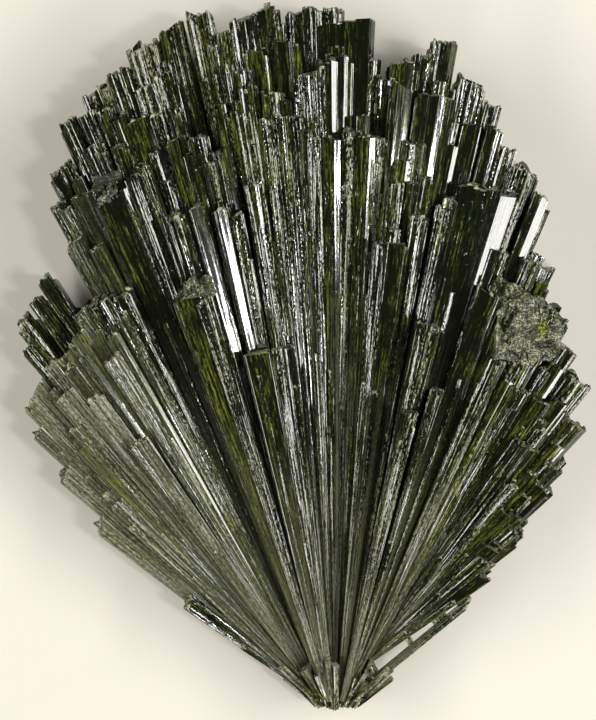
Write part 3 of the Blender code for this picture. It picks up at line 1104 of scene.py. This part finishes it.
    def build(self, kit: Kit) -> Object:
        """Builds the tier as one piece.

        Args:
            kit: what it is made from.

        Returns:
            The piece.
        """
        growth = Growth(self.name, kit, self.seed)
        depths = random.Random(self.seed)
        for prism in self.prisms:
            tip = seen_point(prism.x, prism.y, front_height(prism.x, prism.y) + prism.lift)
            angle = math.degrees(math.atan2(prism.x, prism.y))
            share = (tip.z - BACK_ROW_RISE) / (FRONT_ROW_RISE - BACK_ROW_RISE)
            foot = root_point(angle, prism.foot_lift + BACK_FOOT_RISE
                              + (FRONT_FOOT_RISE - BACK_FOOT_RISE) * min(1.0, max(0.0, share)))
            right_turn = RIGHT_TURNS.get(prism.sheen, depths.choice(OTHER_RIGHT_TURNS))
            stem = Stem(prism, foot, tip, right_turn)
            self.lay_body(growth, stem, depths)
            self.lay_ribs(growth, stem)
            self.lay_ledges(growth, stem)
        return growth.build()


@dataclass(frozen=True)
class Scatter:
    """Prisms between the named ones, a little behind them. Pairs are lowest and highest values.

    turn: angle from +Y, in degrees. reach: share of the outline's reach. seed: fixes the
    layout. sink: depth behind the fan's front. left_dust_and_reflection: more pale dust towards
    the left, partly painted reflection of the pale floor. left_etch_and_reflection: how fast the
    painted grey reflection of the pale floor grows to the left, and what is taken off it. Others
    as of a prism.
    """

    count: int
    turn: Pair
    reach: Pair
    seed: int
    width: Pair = (0.8, 1.9)
    slope: Pair = (-8.0, 14.0)
    left: Pair = (0.08, 0.3)
    right: Pair = (0.1, 0.45)
    sink: Pair = (0.05, 0.6)
    tone: Pair = (0.0, 0.6)
    dust: Pair = (0.1, 0.5)
    left_dust_and_reflection: float = 0.3
    rib: Pair = (0.35, 0.6)
    left_etch_and_reflection: Pair = (1.2, 0.4)
    sheens: tuple[Sheen, ...] = (
        Sheen.STRIATED, Sheen.STRIATED, Sheen.STRIATED, Sheen.STRIATED, Sheen.BRIGHT_SIDE,
        Sheen.SILVER_SIDE, Sheen.SILVER_SIDE, Sheen.GLASSY)

    def prisms(self) -> tuple[Prism, ...]:
        """The prisms, always the same ones for a seed."""
        rng = random.Random(self.seed)
        prisms = []
        for number in range(self.count):
            angle = math.radians(self.turn[0] + (self.turn[1] - self.turn[0])
                                 * (number + rng.random()) / self.count)
            length = sector_reach(math.degrees(angle)) * rng.uniform(*self.reach)
            if math.dist(fan_point(angle, length), NOTCH) < NOTCH_REACH:
                length *= NOTCH_SHARE
            prisms.append(Prism(
                *fan_point(angle, length), rng.uniform(*self.width), rng.uniform(*self.slope),
                rng.uniform(*self.left), rng.uniform(*self.right), -rng.uniform(*self.sink),
                rng.uniform(*self.tone),
                # More pale dust towards the left, partly painted reflection of the pale floor.
                rng.uniform(*self.dust) + self.left_dust_and_reflection * max(0.0, -math.sin(angle)),
                rib=rng.uniform(*self.rib), sheen=rng.choice(self.sheens),
                # Grey growing to the left: painted reflection of the pale floor.
                haze=max(0.0, -self.left_etch_and_reflection[0] * math.sin(angle) - self.left_etch_and_reflection[1])))
        return tuple(prisms)


@dataclass
class RestingBed:
    """The crystals at the back, which the cluster lies on. Pairs are lowest and highest values.

    rows: height of the middle of each row at the tips. count: crystals in a row. turn: of the
    crystals at its ends. foot_rise, foot_step: height of the crystals at the root, and what a
    row's height at the tips adds to it. slope, slant: as of a lath. ribs: to each crystal of
    the lowest row.
    """

    name: str = "resting_bed"
    seed: int = 31
    rows: tuple[float, ...] = (0.85, 2.1, 3.3)
    count: int = 60
    turn: float = 45.0
    depth: Pair = (1.2, 1.7)
    width: Pair = (0.8, 1.7)
    reach: Pair = (0.84, 0.96)
    slope: float = 35.0
    slant: float = 0.4
    foot_rise: float = 0.9
    foot_step: float = 0.4
    ribs: int = 4
    rib_foot: float = 0.25
    rib_end: Pair = (0.7, 1.0)
    rib_height: Pair = (0.3, 0.6)
    rib_width: Pair = (0.4, 0.8)

    def build(self, kit: Kit) -> Object:
        """Builds the bed as one piece.

        Args:
            kit: what it is made from.

        Returns:
            The piece.
        """
        growth = Growth(self.name, kit, self.seed)
        rng = growth.rng
        for row, number in ((row, number) for row in self.rows for number in range(self.count)):
            angle = self.turn * (2.0 * number / (self.count - 1) - 1.0) + rng.uniform(-1.0, 1.0)
            reach = sector_reach(angle) * rng.uniform(*self.reach)
            turn = math.radians(angle)
            if math.dist(fan_point(turn, reach), NOTCH) < BED_NOTCH:
                reach = NOTCH_DEPTH
            foot = root_point(angle, self.foot_rise + self.foot_step * row)
            tip = ROOT + Vector((*fan_point(turn, reach), row))
            growth.add(rng.choice((Cut.PLAIN, Cut.ROOFED)), foot, tip,
                       Vector((rng.uniform(-0.1, 0.1), 0.0, 1.0)),
                       Lath(rng.uniform(*self.width), rng.uniform(*self.depth), ROOT_SHARE,
                            rng.uniform(-self.slope, self.slope),
                            rng.uniform(-self.slant, self.slant),
                            rng.uniform(0.0, 0.5), 0.0, wobble=0.0))
            across = Vector((math.cos(turn), -math.sin(turn), 0.0))
            for _ in range(self.ribs if row == self.rows[0] else 0):
                off = across * rng.uniform(-1.0, 1.0)
                end = foot.lerp(tip, rng.uniform(*self.rib_end)) + off
                end.z = rng.uniform(*self.rib_height)
                growth.add(rng.choice((Cut.PLAIN, Cut.STEPPED)), foot + off * self.rib_foot, end,
                           Vector((rng.uniform(-0.2, 0.2), 0.0, -1.0)),
                           Lath(rng.uniform(*self.rib_width), 0.5, 0.3, rng.uniform(-15.0, 15.0),
                                tone=rng.uniform(0.0, 0.5)))
        return growth.build()


@dataclass
class Splinter:
    """The thin prism at the lower right, with the small bridges that hold it.

    foot, tip: seen places from the root, with heights. blades: how far each of its crystals
    lies to the side, and falls short of the tip. bridges: share of its length where each
    stands, and its width. bridge_run: from the splinter to a bridge's end.
    """

    name: str = "splinter"
    seed: int = 5
    foot: Triple = (2.6, 1.0, 2.2)
    tip: Triple = (10.9, 7.8, 2.8)
    width: float = 0.5
    blades: tuple[Pair, ...] = ((-0.14, 0.0), (0.12, 0.6), (0.0, 1.8))
    bridges: tuple[Pair, ...] = ((0.06, 1.5), (0.44, 0.6), (0.72, 1.5), (0.93, 1.2))
    bridge_run: Triple = (-0.7, 1.2, 0.2)

    def build(self, kit: Kit) -> Object:
        """Builds the splinter as one piece.

        Args:
            kit: what it is made from.

        Returns:
            The piece.
        """
        growth = Growth(self.name, kit, self.seed)
        foot, tip = seen_point(*self.foot), seen_point(*self.tip)
        along = (tip - foot).normalized()
        for shift, back in self.blades:
            off = Vector((shift * 0.6, -shift * 0.8, 0.2 + back * 0.1))
            growth.add(Cut.ROOFED, foot + off, tip + off - along * back, UP,
                       Lath(self.width * 0.7, 1.2, 0.8, 20.0, 0.2, 0.5, 0.7))
        for share, wide in self.bridges:
            base = foot.lerp(tip, share)
            growth.add(Cut.STEPPED, base, base + Vector(self.bridge_run), UP,
                       Lath(wide, 1.0, 0.8, tone=0.4, dust=0.7))
        return growth.build()


@dataclass
class RootEnd:
    """The short broken prisms at the root. Pairs are lowest and highest values.

    spread: how far they turn from +Y, in degrees. climb: how they rise away from their ends.
    side: how far from the middle the outermost end. along, height: where they end. length,
    width, depth: of each. foot_share, slope, tone, dust: as of a lath.
    """

    name: str = "root_end"
    seed: int = 12
    count: int = 60
    spread: float = 50.0
    climb: Pair = (0.0, 0.35)
    side: float = 1.7
    along: Pair = (-0.4, 0.5)
    height: Pair = (1.0, 4.4)
    length: Pair = (2.0, 4.0)
    width: Pair = (0.2, 0.5)
    depth: Pair = (0.3, 0.7)
    foot_share: float = 1.3
    slope: float = 20.0
    tone: Pair = (0.0, 0.5)
    dust: Pair = (0.0, 0.5)

    def build(self, kit: Kit) -> Object:
        """Builds the root as one piece.

        Args:
            kit: what it is made from.

        Returns:
            The piece.
        """
        growth = Growth(self.name, kit, self.seed)
        rng = growth.rng
        for _ in range(self.count):
            angle = math.radians(rng.uniform(-self.spread, self.spread))
            out = Vector((*fan_point(angle, 1.0), rng.uniform(*self.climb)))
            side = self.side * math.degrees(angle) / EDGE_ANGLE
            tip = ROOT + Vector((side, rng.uniform(*self.along), rng.uniform(*self.height)))
            growth.add(rng.choice((Cut.STEPPED, Cut.ROUGH, Cut.PLAIN)),
                       tip + out * rng.uniform(*self.length), tip,
                       Vector((rng.uniform(-0.4, 0.4), 0.0, 1.0)),
                       Lath(rng.uniform(*self.width), rng.uniform(*self.depth), self.foot_share,
                            rng.uniform(-self.slope, self.slope), 0.15,
                            rng.uniform(*self.tone), rng.uniform(*self.dust)))
        return growth.build()


@dataclass
class BrokenFace:
    """A broken surface that slopes across the ends of several prisms.

    corners: seen places from the root with heights, in the order left outer, right outer,
    right inner, left inner. rows: how many rows of points. rough: how far points stray.
    spot: seen place of a lime spot, and its radius. skirt: how far its rim is drawn down.
    seed: fixes the noise, which otherwise changes with the time of day. lumps, crumbs, grains:
    noise cells to a millimetre. crumb_share, grain_share: how strong those are. terraces:
    levels to a millimetre that the surface breaks in.
    """

    name: str
    corners: tuple[Triple, ...]
    rows: int
    rough: float
    dust: float
    spot: Triple = (0.0, 0.0, 0.0)
    skirt: float = 2.4
    rim_share: float = 0.7               # how far points at the rim stray, as a share
    seed: int = 7
    lumps: float = 0.6
    crumbs: float = 1.9
    crumb_share: float = 0.7
    grains: float = 5.0
    grain_share: float = 0.5
    terraces: float = 3.0

    def build(self, kit: Kit) -> Object:
        """Builds the surface as one piece.

        Args:
            kit: what it is made from.

        Returns:
            The piece.
        """
        bpy.ops.mesh.primitive_grid_add(x_subdivisions=self.rows, y_subdivisions=self.rows,
                                        size=1.0)
        piece = bpy.context.object
        piece.name = piece.data.name = self.name
        bpy.ops.object.mode_set(mode="EDIT")
        bpy.ops.mesh.select_all(action="SELECT")
        bpy.ops.mesh.region_to_loop()
        bpy.ops.mesh.extrude_region_move(TRANSFORM_OT_translate={"value": (0.0, 0.0, -1.0)})
        bpy.ops.object.mode_set(mode="OBJECT")
        left_outer, right_outer, right_inner, left_inner = (
            seen_point(*corner) for corner in self.corners)
        spot = seen_point(self.spot[0], self.spot[1], left_outer.z)
        noise.seed_set(self.seed)
        tones = []
        for vert in piece.data.vertices:
            u, v = vert.co.x + 0.5, vert.co.y + 0.5
            point = left_inner.lerp(right_inner, u).lerp(left_outer.lerp(right_outer, u), v)
            inside = min(u, 1.0 - u, v, 1.0 - v) > 0.001
            stray = (noise.noise_vector(point * self.lumps)
                     + noise.noise_vector(point * self.crumbs) * self.crumb_share)
            stray.z = (round(stray.z * self.terraces) / self.terraces
                       + noise.noise(point * self.grains) * self.grain_share)
            point += stray * self.rough * (1.0 if inside else self.rim_share)
            near = math.hypot(point.x - spot.x, point.y - spot.y) / max(self.spot[2], NEAR)
            tones.append(max(0.2, 1.5 - 0.7 * near - 0.6 * stray.x))
            vert.co = (point + UP * (self.skirt * vert.co.z)) * MM
        store(piece.data, {"tone": tones, "dust": [self.dust] * len(tones)})
        piece.data.materials.append(kit.broken)
        attach(piece)
        return piece


# Floor, camera and lights

@dataclass(frozen=True)
class SoftLamp:
    """A rectangular soft lamp that looks at the fan.

    place: where it hangs, in metres. size: its width and height in metres. glow: its radiance.
    """

    name: str
    place: Triple
    size: Pair
    glow: float
    colour: str = "#ffffff"

    def hang(self) -> None:
        """Adds the lamp, turned to the fan's middle."""
        data = bpy.data.lights.new(self.name, "AREA")
        data.shape = "RECTANGLE"
        data.size, data.size_y = self.size
        data.energy = self.glow * math.pi * self.size[0] * self.size[1]
        data.color = linear(self.colour)[:3]
        lamp = bpy.data.objects.new(self.name, data)
        lamp.location = self.place
        lamp.rotation_euler = (-Vector(self.place)).to_track_quat("-Z", "Y").to_euler()
        bpy.context.scene.collection.objects.link(lamp)


@dataclass(frozen=True)
class Studio:
    """Pale floor, soft lamps and the camera that looks down on the fan."""

    floor_size: float = 3.0
    floor_colour: str = "#dcd9d0"
    floor_roughness: float = 0.8
    sky: str = "#d2cfc4"
    sky_strength: float = 0.09
    lens: float = 90.0
    lamps: tuple[SoftLamp, ...] = (
        SoftLamp("key_lamp", (0.163, -0.042, 0.354), (0.019, 0.056), 85.0),
        SoftLamp("right_lamp", (0.24, -0.02, 0.2), (0.5, 0.06), 14.0, "#fffdf7"),
        SoftLamp("left_lamp", (-0.24, -0.02, 0.2), (0.5, 0.05), 13.0, "#fffdf5"),
    )

    def build(self) -> None:
        """Adds the floor, the sky's light, the lamps and the camera."""
        bpy.ops.mesh.primitive_plane_add(size=self.floor_size, location=(0.0, 0.0, 0.0))
        floor = bpy.context.object
        floor.name = "floor"
        material, tree, shader = new_material("pale_floor")
        fit(tree, shader, {"Base Color": linear(self.floor_colour),
                           "Roughness": self.floor_roughness})
        floor.data.materials.append(material)

        world = bpy.data.worlds.new("soft_sky")
        bpy.context.scene.world = world
        world.use_nodes = True
        fit(world.node_tree, world.node_tree.nodes["Background"],
            {"Color": linear(self.sky), "Strength": self.sky_strength})
        for lamp in self.lamps:
            lamp.hang()

        data = bpy.data.cameras.new("camera")
        data.lens = self.lens
        camera = bpy.data.objects.new("camera", data)
        camera.location = (EYE_X * MM, EYE_Y * MM, EYE_HEIGHT * MM)
        bpy.context.scene.collection.objects.link(camera)
        bpy.context.scene.camera = camera
        bpy.context.scene.view_settings.view_transform = "Standard"


def main() -> None:
    """Builds the cluster's pieces in order and writes how large they are."""
    logging.basicConfig(level=logging.INFO, format="%(message)s")
    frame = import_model()
    LOG.info("nodes: %s", ", ".join(frame["nodes"]))
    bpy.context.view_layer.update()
    Studio().build()
    masters = MasterPrisms()
    masters.model_all()
    kit = Kit(masters, GrownFace().make("grown_epidote"), BrokenEnd().make("broken_epidote"))
    pieces = (
        PrismTier("back_left", BACK_LEFT, 1), PrismTier("back_centre", BACK_CENTRE, 2),
        PrismTier("back_right", BACK_RIGHT, 3), PrismTier("lower_left", LOWER_LEFT, 4),
        PrismTier("tier_left", TIER_LEFT, 5), PrismTier("tier_centre", TIER_CENTRE, 6),
        PrismTier("tier_right", TIER_RIGHT, 7), PrismTier("lower_right", TIER_LOWER_RIGHT, 8),
        PrismTier("front_blocks", FRONT_BLOCKS, 9),
        PrismTier("between_left", Scatter(46, (-50.0, -18.0), (0.84, 0.97), 41).prisms(), 10),
        PrismTier("between_centre", Scatter(50, (-18.0, 12.0), (0.8, 0.97), 42).prisms(), 11),
        PrismTier("between_right", Scatter(44, (12.0, 50.0), (0.74, 0.96), 43).prisms(), 12),
        RestingBed(), Splinter(), RootEnd(),
        BrokenFace("broken_right", ((13.1, 33.9, 8.0), (18.8, 30.2, 6.7), (17.3, 26.6, 7.4),
                                    (13.1, 27.0, 9.1)), 40, 0.6, 0.4, (16.6, 29.7, 0.9)),
        BrokenFace("broken_front", ((-12.6, 32.6, 9.6), (-9.9, 33.6, 9.6), (-9.8, 32.1, 10.5),
                                    (-12.2, 31.8, 10.4)), 30, 0.6, 0.4),
        BrokenFace("broken_left", ((-19.3, 41.6, 8.3), (-17.3, 42.2, 8.5), (-17.2, 41.5, 9.1),
                                   (-19.4, 40.8, 9.0)), 16, 0.3, 0.1),
    )
    for piece in pieces:
        piece.build(kit)


if __name__ == "__main__":
    main()
